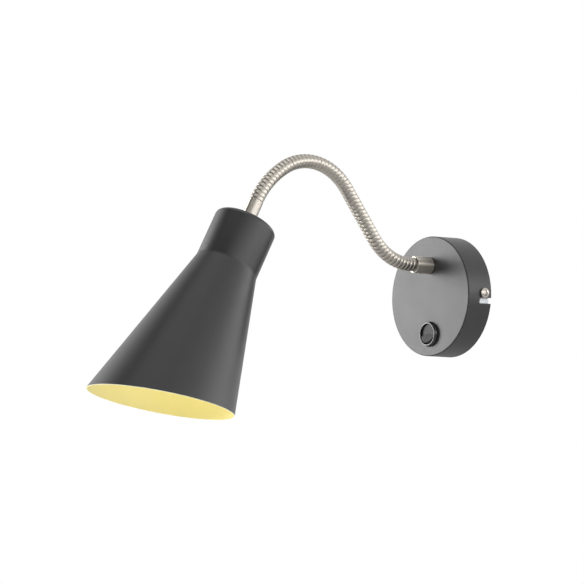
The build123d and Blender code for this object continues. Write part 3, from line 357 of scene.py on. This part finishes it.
# %% [markdown]
# ## Zinc, brass and the other metals
# The bracket, nuts, nipples, washers, earth tag and inner screws are zinc plated, with faint cloudy
# patches, which noise at two scales gives. The electrical metals are plain brass and tinned brass, and
# the bulb's cap is a smoother nickel.

# %% Zinc, brass and nickelled cap
zinc, tree, shader = new_finish("bright zinc", (0.36, 0.37, 0.38), roughness=0.42, metallic=1.0)
mottle(tree, shader, 160.0, (0.32, 0.33, 0.34), (0.40, 0.41, 0.42), detail=6.0)
vary(tree, shader, 300.0, 0.36, 0.48)
grain(tree, shader, 1800.0, 0.15, 0.0001)

brass, tree, shader = new_finish("plain brass", (0.75, 0.56, 0.25), roughness=0.28, metallic=1.0)
mottle(tree, shader, 300.0, (0.68, 0.50, 0.22), (0.80, 0.62, 0.30))
vary(tree, shader, 500.0, 0.22, 0.38)

tinned, tree, shader = new_finish("tinned brass", (0.72, 0.70, 0.65), roughness=0.34, metallic=1.0)
mottle(tree, shader, 400.0, (0.66, 0.64, 0.58), (0.78, 0.76, 0.72))
grain(tree, shader, 2500.0, 0.15, 0.0001)

cap_metal, tree, shader = new_finish("bright nickel cap", (0.78, 0.77, 0.74), roughness=0.18, metallic=1.0)
vary(tree, shader, 350.0, 0.14, 0.26)
print("made", ", ".join(finish.name for finish in (zinc, brass, tinned, cap_metal)))

# %% [markdown]
# ## Plastics, ceramic and glass
# The switch has a glossy black bezel and a satin rocker, the lampholder is pressed phenolic, the terminal
# block is nylon, the holder's insert is glazed ceramic and the bulb has a white collar with a frosted
# globe. The globe scatters light inside it, so it gets a little transmission with a rough surface instead
# of clear glass.

# %% Plastics of the switch, the lampholder and the terminal block
black, tree, shader = new_finish("black gloss plastic", (0.018, 0.018, 0.02), roughness=0.16)
vary(tree, shader, 250.0, 0.12, 0.22)
grain(tree, shader, 900.0, 0.05, 0.0001)

rocker_black, tree, shader = new_finish("black rocker plastic", (0.02, 0.02, 0.023), roughness=0.5)
shader.inputs["Specular IOR Level"].default_value = 0.3
vary(tree, shader, 250.0, 0.46, 0.54)
grain(tree, shader, 1500.0, 0.12, 0.0001)

phenolic, tree, shader = new_finish("black phenolic", (0.022, 0.019, 0.018), roughness=0.26)
mottle(tree, shader, 500.0, (0.018, 0.016, 0.015), (0.030, 0.026, 0.024))
vary(tree, shader, 300.0, 0.2, 0.36)

nylon, tree, shader = new_finish("natural nylon", (0.80, 0.79, 0.74), roughness=0.42)
shader.inputs["Subsurface Weight"].default_value = 0.15
shader.inputs["Subsurface Scale"].default_value = 0.002
mottle(tree, shader, 250.0, (0.78, 0.77, 0.71), (0.83, 0.82, 0.78))
grain(tree, shader, 1500.0, 0.1, 0.0001)
print("made", ", ".join(finish.name for finish in (black, rocker_black, phenolic, nylon)))

# %% Ceramic, white plastic and glass
ceramic, tree, shader = new_finish("glazed ceramic", (0.84, 0.83, 0.79), roughness=0.2)
shader.inputs["Coat Weight"].default_value = 0.5
shader.inputs["Coat Roughness"].default_value = 0.1
mottle(tree, shader, 200.0, (0.82, 0.81, 0.77), (0.86, 0.85, 0.82))
grain(tree, shader, 700.0, 0.08, 0.0002)

white_plastic, tree, shader = new_finish("white plastic", (0.84, 0.84, 0.83), roughness=0.32)
vary(tree, shader, 200.0, 0.28, 0.38)
grain(tree, shader, 1600.0, 0.06, 0.0001)

frosted, tree, shader = new_finish("frosted globe", (0.92, 0.92, 0.89), roughness=0.55)
shader.inputs["Transmission Weight"].default_value = 0.35
shader.inputs["Subsurface Weight"].default_value = 0.3
shader.inputs["Subsurface Scale"].default_value = 0.004
grain(tree, shader, 1800.0, 0.08, 0.0001)

dark_glass, tree, shader = new_finish("black cap glass", (0.02, 0.02, 0.022), roughness=0.14)
vary(tree, shader, 400.0, 0.1, 0.25)
print("made", ", ".join(finish.name for finish in (ceramic, white_plastic, frosted, dark_glass)))

# %% [markdown]
# ## Insulated wires and the light board
# Each wire is soft PVC with a faint grain. The earth wire is green with yellow stripes that cross it at a
# slant. The two cores in the lampholder are brown and blue, split by the lamp's middle plane.

# %% Plain insulation
def insulation(name, colour):
    """Soft PVC of one colour, a little darker in places."""
    material, tree, shader = new_finish(name, colour, roughness=0.45)
    darker = tuple(0.88 * value for value in colour)
    mottle(tree, shader, 600.0, darker, colour)
    grain(tree, shader, 1800.0, 0.2, 0.0001)
    return material


sheath = insulation("black sheath", (0.05, 0.05, 0.052))
brown = insulation("brown insulation", (0.16, 0.07, 0.035))
blue = insulation("blue insulation", (0.05, 0.2, 0.55))
print("made", ", ".join(finish.name for finish in (sheath, brown, blue)))

# %% Striped earth wire, paired cores and the light board
earth_green, tree, shader = new_finish("green and yellow insulation", (0.1, 0.4, 0.08), roughness=0.45)
axes = node(tree, "ShaderNodeSeparateXYZ", [(0, place(tree))])
slant = node(tree, "ShaderNodeMath", [(0, axes.outputs["X"]), (1, axes.outputs["Z"])], operation="ADD")
wave = node(tree, "ShaderNodeMath", [(0, slant.outputs[0])], operation="MULTIPLY", in1=1300.0)
sine = node(tree, "ShaderNodeMath", [(0, wave.outputs[0])], operation="SINE")
tree.links.new(
    shader.inputs["Base Color"],
    ramp(tree, sine.outputs[0], [(0.10, (0.08, 0.36, 0.07)), (0.16, (0.75, 0.68, 0.08))]),
)
grain(tree, shader, 1800.0, 0.2, 0.0001)

two_cores, tree, shader = new_finish("brown and blue cores", (0.16, 0.07, 0.035), roughness=0.45)
axes = node(tree, "ShaderNodeSeparateXYZ", [(0, place(tree))])
right = node(tree, "ShaderNodeMath", [(0, axes.outputs["X"])], operation="GREATER_THAN", in1=0.0)
tree.links.new(
    shader.inputs["Base Color"],
    ramp(tree, right.outputs[0], [(0.0, (0.05, 0.2, 0.55)), (1.0, (0.16, 0.07, 0.035))]),
)
grain(tree, shader, 1800.0, 0.2, 0.0001)

board_finish, tree, shader = new_finish("white light board", (0.82, 0.82, 0.8), roughness=0.4)
cells = node(tree, "ShaderNodeTexNoise", [("Vector", place(tree))], Scale=900.0, Detail=2.0)
tree.links.new(
    shader.inputs["Base Color"],
    ramp(tree, cells.outputs[0], [(0.35, (0.78, 0.78, 0.75)), (0.7, (0.86, 0.86, 0.84))]),
)
print("made", ", ".join(finish.name for finish in (earth_green, two_cores, board_finish)))

# %% [markdown]
# ## Finishes for the pieces that keep their CAD shape
# Most inner pieces, the screws, the sleeves and the bulb are right as they come from the CAD. Every piece
# gets its finish here, by name, also those that a finer one replaces further down.

# %% Dress the CAD pieces
DRESSED = [
    (charcoal, "canopy shade"),
    (zinc, "wall_bracket earth_washer earth_screw block_screw arm_washer_wall arm_nut_wall"),
    (zinc, "arm_washer_head arm_nut_head arm_nipple_wall arm_nipple_head"),
    (zinc, "earth_tag terminal_screws holder_screws"),
    (wall_nickel, "arm_sleeve_wall canopy_screws"),
    (head_nickel, "arm_sleeve_head"),
    (hose_nickel_with_painted_shade, " ".join(f"gooseneck_{index:02d}" for index in range(LINK_COUNT + 2))),
    (brass, "terminal_clamps switch_terminals holder_contacts earth_lug"),
    (tinned, "spade_receptacles"),
    (nylon, "terminal_block"),
    (black, "switch_housing"),
    (rocker_black, "switch_rocker"),
    (phenolic, "lampholder_cap lampholder_shell"),
    (ceramic, "lampholder_carrier"),
    (cap_metal, "bulb_cap bulb_tip"),
    (dark_glass, "bulb_insulator"),
    (white_plastic, "bulb_collar"),
    (frosted, "bulb_globe"),
    (board_finish, "light_board"),
    (brown, "wire_live_feed wire_live_switched"),
    (blue, "wire_neutral"),
    (earth_green, "wire_earth"),
    (two_cores, "lamp_wires"),
    (sheath, "arm_cable"),
]
for material, names in DRESSED:
    for name in names.split():
        paint(nodes[name], material)
print(sum(len(names.split()) for material, names in DRESSED), "CAD pieces dressed")

# %% [markdown]
# ## The shade
# The real shade is spun from sheet steel: a flat top with a rounded edge, a straight neck, a soft kink and
# a long flare that is cut off at a slant. Here its outside line is spun round the shade's axis, the mouth
# is cut with a slanted plane, and a Solidify modifier gives the sheet its 0.8 mm wall. The outer faces
# stay charcoal, the inner ones turn yellow and the cut edge gets the pale line, a painted highlight. The
# finished mesh is then measured against the box of the CAD shade.

# %% Spin the shade's skin
SHADE_WALL = 0.8
SHADE_SIDES = 160
TOP_HOLE = 5.1
CROWN_EDGE = 3.6
KINK_RADIUS = 10.6
NECK_RADIUS = 25.1
NECK_LENGTH = 40.7
FLARE = radians(14.1)
MOUTH_DEPTH = 161.3
MOUTH_SLANT = radians(15.3)
FAR_END = MOUTH_DEPTH + 2 * NECK_RADIUS
far_radius = NECK_RADIUS + (FAR_END - NECK_LENGTH) * tan(FLARE)
skin = [(TOP_HOLE, 0.0), (NECK_RADIUS, 0.0), (NECK_RADIUS, NECK_LENGTH), (far_radius, FAR_END)]
skin = rounded(skin, {1: CROWN_EDGE, 2: KINK_RADIUS}, pieces=10)
shade = turned("shade_shell", skin, SHADE_SIDES)
print("skin of", len(skin), "points spun in", SHADE_SIDES, "steps")

# %% Cut the mouth and thicken the sheet
alone(shade)
bpy.ops.object.mode_set(mode="EDIT")
bpy.ops.mesh.select_all(action="SELECT")
cut_normal = (0, -sin(MOUTH_SLANT), cos(MOUTH_SLANT))
bpy.ops.mesh.bisect(plane_co=(0, 0, MOUTH_DEPTH * MM), plane_no=cut_normal, clear_outer=True)
bpy.ops.object.mode_set(mode="OBJECT")

thick = shade.modifiers.new("sheet", "SOLIDIFY")
thick.thickness = SHADE_WALL * MM
thick.offset = -1
thick.use_even_offset = True
thick.material_offset = 1
thick.material_offset_rim = 2
paint(shade, charcoal, yellow, rim_highlight_yellow)
alone(shade)
bpy.ops.object.modifier_apply(modifier="sheet")
put(shade, HEAD)
smooth(shade, 40)
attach(shade, "head")
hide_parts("shade")
low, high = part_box("shade")
spans = [[vertex.co[axis] for vertex in shade.data.vertices] for axis in range(3)]
print("shade", len(shade.data.polygons), "faces")
print("its box is off the CAD's by", [round((min(span) - edge) / MM, 2) for span, edge in zip(spans, low)])
print("and by", [round((max(span) - edge) / MM, 2) for span, edge in zip(spans, high)], "mm")

# %% [markdown]
# ## The gooseneck
# The real hose is one strip wound into slanted ribs with narrow grooves. Closed rings would be simpler, but
# the photo shows the ribs' slant. So a plain straight tube is spun with many fine rows and given its wall,
# and then each outer vertex moves in or out by its distance and its angle round the tube, which draws one
# helix. In the same step the tube is bent onto the arm's course. Each length runs between the middles of
# two rigid CAD lengths, so that it crosses just one joint. How deep each vertex lies goes into an attribute
# that the metal reads as painted shade in the grooves. This painted shade is kept faint on the hose's two
# sides, where a bright band of light runs along the hose with hardly a groove in it, and is strongest
# above and below the hose.

# %% Outline of a rib
RIB_RADIUS = 5.7
GROOVE_RADIUS = 5.2
ROWS_PER_RIB = 14
HOSE_SIDES = 48
HOSE_WALL = 1.2

# A groove is deepest outside a bend: half the difference to its inside, and the share of painted groove
# shade left on the hose's two sides
GROOVE_OPENING = 0.35
SIDE_SHADE_SHARE = 0.1

# Outline of one rib along the hose: share of the pitch, height over the groove as a share of its depth
RIB_ROWS = [
    (0.00, 0.00), (0.08, 0.30), (0.18, 0.58), (0.32, 0.78), (0.50, 0.92), (0.70, 1.00),
    (0.84, 1.00), (0.92, 0.80), (0.97, 0.35), (1.00, 0.00),
]


def rib_depth(share):
    """How far the skin lies below the ribs' crest at a share of the pitch, as a share of the groove."""
    for (a, low_value), (b, high_value) in zip(RIB_ROWS, RIB_ROWS[1:]):
        if a <= share <= b:
            return 1 - low_value - (high_value - low_value) * (share - a) / (b - a)
    return 1


def outer_side(distance):
    """Which side is outside the bend: -1 below on the rise, 1 above on the crown and the droop."""
    share = min(1, max(0, (distance - WALL_STRAIGHT - RISE) / MIDDLE))
    return 2 * share - 1


print("grooves", round(RIB_RADIUS - GROOVE_RADIUS, 2), "mm deep every", RIB_PITCH, "mm")

# %% One bent length of tube
def even_rows(start, finish, step, radius):
    """(distance, radius) rows of a plain tube, evenly spaced and about a step apart."""
    count = round((finish - start) / step)
    return [(start + (finish - start) * row / count, radius) for row in range(count + 1)]


def bent(name, rows, steps, wall, wound=False):
    """Tube spun from rows of distance and radius, bent onto the arm's course. A wound one gets its ribs
    as one helix: each vertex's radius follows its distance and its angle round the hose. A groove has its
    full depth outside a bend and is shallower inside it."""
    origin = rows[0][0]
    piece = turned(name, [(radius, distance - origin) for distance, radius in rows], steps)
    shell = piece.modifiers.new("wall", "SOLIDIFY")
    shell.thickness = wall * MM
    shell.offset = -1
    alone(piece)
    bpy.ops.object.modifier_apply(modifier="wall")
    groove_shade = piece.data.attributes.new("groove", "FLOAT", "POINT")
    for vertex, value in zip(piece.data.vertices, groove_shade.data):
        distance = origin + vertex.co.z / MM
        flat = Vector((vertex.co.x, vertex.co.y, 0))
        if wound and flat.length / MM > RIB_RADIUS - wall / 2:
            angle = atan2(flat.y, flat.x)
            depth = rib_depth((distance / RIB_PITCH + angle / (2 * pi)) % 1)
            depth *= 1 - GROOVE_OPENING + GROOVE_OPENING * sin(angle) * outer_side(distance)
            radius = RIB_RADIUS - (RIB_RADIUS - GROOVE_RADIUS) * depth
            # Painted shade: full in the grooves above and below the hose, faint on its two sides
            value.value = depth * (SIDE_SHADE_SHARE + (1 - SIDE_SHADE_SHARE) * abs(sin(angle)))
            flat = flat.normalized() * radius * MM
        vertex.co = arm_frame(distance) @ flat
    piece.matrix_world = Matrix.Identity(4)
    return piece


def path(distance):
    """The centre line's point at a distance along the hose, in metres."""
    y, z, heading = arm_station(distance)
    return (0, y * MM, z * MM)


print("hose ends at", [round(v, 4) for v in path(HOSE_LENGTH)])

# %% Eight lengths of hose, each across one joint
middles = [0.0] + [RIB_PITCH + LINK_LENGTH * (index + 0.5) for index in range(LINK_COUNT)] + [HOSE_LENGTH]
hose_faces = 0
for index in range(LINK_COUNT + 1):
    start, finish = middles[index], middles[index + 1]
    rows = even_rows(start, finish, RIB_PITCH / ROWS_PER_RIB, RIB_RADIUS)
    length = bent(f"hose_{index:02d}", rows, HOSE_SIDES, HOSE_WALL, wound=True)
    paint(length, hose_nickel_with_painted_shade)
    smooth(length, 75)
    path(start)
    path(finish)
    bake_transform(length)
    if index == LINK_COUNT:
        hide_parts(f"gooseneck_{index:02d}", f"gooseneck_{index + 1:02d}")
    else:
        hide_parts(f"gooseneck_{index:02d}")
    hose_faces += len(length.data.polygons)
print("hose", LINK_COUNT + 1, "lengths,", hose_faces, "faces")

# %% [markdown]
# ## The cable in the hose
# A round black cable runs through the hose from the canopy to the lampholder. It follows the same course
# and crosses the same joints, so it is cut and bent in the same way. Its outermost lengths reach through
# the sleeves. Their ends are flat with a small bevel, so that the cable is closed.

# %% Eight lengths of cable
CABLE_RADIUS = 2.2
CABLE_SIDES = 24
CABLE_STEP = 1.8
CABLE_LEAST_ROWS = 6
CABLE_EDGE = 0.2
SHEATH_WALL = 0.15
WALL_TAIL = 27.9
HEAD_TAIL = 16.6
CABLE_TIP = 0.001
CABLE_START = -WALL_TAIL
CABLE_END = HOSE_LENGTH + HEAD_SLEEVE + HEAD_TAIL
for index in range(LINK_COUNT + 1):
    start, finish = middles[index], middles[index + 1]
    first = CABLE_START if index == 0 else start
    last = CABLE_END if index == LINK_COUNT else finish
    count = max(CABLE_LEAST_ROWS, int((last - first) / CABLE_STEP))
    rows = [(first + (last - first) * step / count, CABLE_RADIUS) for step in range(count + 1)]
    end_radius = CABLE_RADIUS - CABLE_EDGE
    if index == 0:
        rows = [(first, CABLE_TIP), (first, end_radius), (first + CABLE_EDGE, CABLE_RADIUS)] + rows[1:]
    if index == LINK_COUNT:
        rows = rows[:-1] + [(last - CABLE_EDGE, CABLE_RADIUS), (last, end_radius), (last, CABLE_TIP)]
    length = bent(f"cable_{index:02d}", rows, CABLE_SIDES, SHEATH_WALL)
    paint(length, sheath)
    smooth(length, 60)
    path(start)
    path(finish)
    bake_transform(length)
    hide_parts("arm_cable")
print("cable", LINK_COUNT + 1, "lengths,", round(CABLE_END - CABLE_START, 1), "mm in all")

# %% [markdown]
# ## Floor and backdrop
# The floor is plain and pale and lies well below the lamp. The white background is the world's colour as
# the camera, mirrors and glass see it. In diffuse light the world shines with about a third of that, which
# leaves more of the shading to the soft boxes.

# %% Floor and backdrop
stage_white, tree, shader = new_finish("studio white", (0.86, 0.86, 0.86), roughness=0.9)
bpy.ops.mesh.primitive_plane_add(size=7, location=(0, 0, -0.6))
floor = bpy.context.object
floor.name = "floor"
paint(floor, stage_white)

world = bpy.data.worlds.new("studio")
bpy.context.scene.world = world
world.use_nodes = True
tree = world.node_tree
back = tree.nodes["Background"]
back.inputs["Color"].default_value = (1, 1, 1, 1)
seen = node(tree, "ShaderNodeLightPath").outputs
mirror_rays = [(0, seen["Is Glossy Ray"]), (1, seen["Is Transmission Ray"])]
mirror = node(tree, "ShaderNodeMath", mirror_rays, operation="MAXIMUM")
white_rays = [(0, seen["Is Camera Ray"]), (1, mirror.outputs[0])]
either = node(tree, "ShaderNodeMath", white_rays, operation="MAXIMUM")
level = node(tree, "ShaderNodeMapRange", [("Value", either.outputs[0])])
level.inputs["To Min"].default_value = 0.35
level.inputs["To Max"].default_value = 1.0
tree.links.new(back.inputs["Strength"], level.outputs[0])
print("floor at", round(floor.location.z, 2), "m")

# %% [markdown]
# ## Soft boxes
# The left box lights the canopy's face and the shade's left edge. Two wide boxes, one on the right and one
# behind the wall's plane, draw the bright band along the hose and light the shade's right side. A weak one
# hangs above. The last is a small lamp close under the mouth with a narrow spread, so that it lights the
# yellow inside and none of it passes the shade to the hose.

# %% Soft boxes
def soft_box(name, spot, aim, width, height, power):
    """Rectangular area lamp at a spot, turned towards an aim."""
    lamp = bpy.data.lights.new(name, "AREA")
    lamp.shape = "RECTANGLE"
    lamp.size = width
    lamp.size_y = height
    lamp.energy = power
    made = bpy.data.objects.new(name, lamp)
    bpy.context.scene.collection.objects.link(made)
    made.location = spot
    made.rotation_euler = (Vector(aim) - Vector(spot)).to_track_quat("-Z", "Y").to_euler()
    return made


middle = (0, -0.15, 0)
soft_box("left box", (-1.85, -1.14, 0.35), middle, 0.9, 1.6, 43)
soft_box("right box", (2.1, 0.1, 0.45), middle, 2.4, 0.8, 13)
soft_box("back box", (0.95, 1.75, 0.45), middle, 2.4, 0.8, 12)
soft_box("top box", (0.2, -0.6, 1.7), middle, 1.4, 1.4, 8)
mouth_light = soft_box("mouth light", (0, -0.378, -0.271), (0, -0.284, -0.094), 0.05, 0.05, 0.042)
mouth_light.data.spread = radians(40)
print(len(bpy.data.lights), "lamps")

# %% [markdown]
# ## A dark flag
# A photographer holds a dark board where a glossy thing should look dark. This one stands in front of the
# lamp, left of the camera, and reaches high, so that the left middle of the shade mirrors it instead of
# the white world. Light Path makes it clear to the camera.

# %% The flag
FLAG_WIDTH = 4.4
FLAG_HEIGHT = 5.0
flag_grey, tree, shader = new_finish("flag grey", (0.03, 0.03, 0.03), roughness=0.9)
clear = node(tree, "ShaderNodeBsdfTransparent")
seen = node(tree, "ShaderNodeLightPath").outputs
hidden = node(
    tree, "ShaderNodeMixShader", [(0, seen["Is Camera Ray"]), (1, shader.outputs[0]), (2, clear.outputs[0])]
)
tree.links.new(tree.nodes["Material Output"].inputs["Surface"], hidden.outputs[0])
bpy.ops.mesh.primitive_plane_add(size=1, location=(0.2, -2.2, 1.7))
flag = bpy.context.object
flag.name = "flag"
flag.scale = (FLAG_WIDTH, FLAG_HEIGHT, 1)
flag.rotation_euler = (Vector(middle) - flag.location).to_track_quat("Z", "Y").to_euler()
bpy.ops.object.transform_apply(location=True, rotation=True, scale=True)
paint(flag, flag_grey)
print("flag", FLAG_WIDTH, "by", FLAG_HEIGHT, "m")

# %% [markdown]
# ## Camera
# The camera's direction, lens and place were solved on the outlines in the photo. It looks slightly up,
# from the right of the lamp.

# %% Camera
CAMERA_PLACE = (1.39822, -1.19109, -0.15302)
azimuth, elevation = radians(53.734), radians(-4.921)
towards = Vector((sin(azimuth) * cos(elevation), -cos(azimuth) * cos(elevation), sin(elevation)))
right = Vector((cos(azimuth), sin(azimuth), 0))
up = towards.cross(right)
lens = bpy.data.cameras.new("camera")
lens.lens = 135.616
lens.sensor_width = 36
camera = bpy.data.objects.new("camera", lens)
bpy.context.scene.collection.objects.link(camera)
turn = Matrix((right, up, towards)).transposed().to_4x4()
camera.matrix_world = Matrix.Translation(CAMERA_PLACE) @ turn
bpy.context.scene.camera = camera
bpy.context.scene.view_settings.view_transform = "Standard"
print("camera at", [round(v, 3) for v in camera.location])
